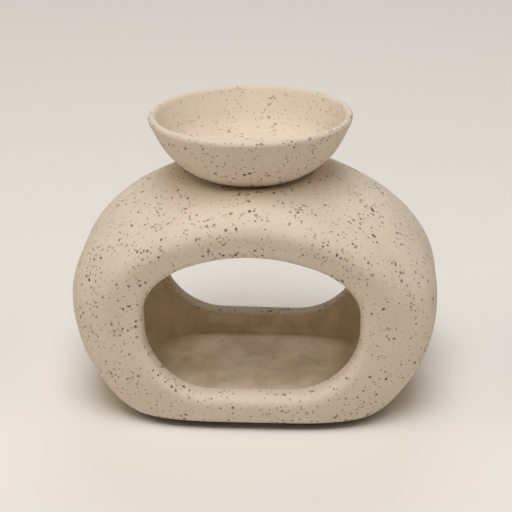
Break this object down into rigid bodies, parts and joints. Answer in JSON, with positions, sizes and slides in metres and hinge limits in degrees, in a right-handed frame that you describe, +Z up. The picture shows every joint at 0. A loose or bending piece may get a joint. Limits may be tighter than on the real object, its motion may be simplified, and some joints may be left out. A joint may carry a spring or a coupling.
{
  "type": "essential oil burner",
  "caption": "Free-standing speckled stoneware oil burner: a hollow pebble body open from front to back, with a shallow round lift-off bowl on its crown.",
  "frame": {"origin": "on the table, under the middle of the body, between the four foot pads", "axes": "+Z up, +X along the body's width, -Y out of the front opening"},
  "size_m": [0.1192, 0.069, 0.0972],
  "materials": {
    "stoneware": "matte speckled sand stoneware",
    "pad_rubber": "matte dark rubber"
  },
  "bodies": {
    "burner": {"burner_body": "stoneware", "foot_pads": "pad_rubber"},
    "bowl": {"oil_bowl": "stoneware"}
  },
  "joints": [
    {"name": "bowl_lift", "type": "slide", "parent": "burner", "child": "bowl", "axis": [0, 0, 1], "range_m": [0, 0.04]}
  ]
}
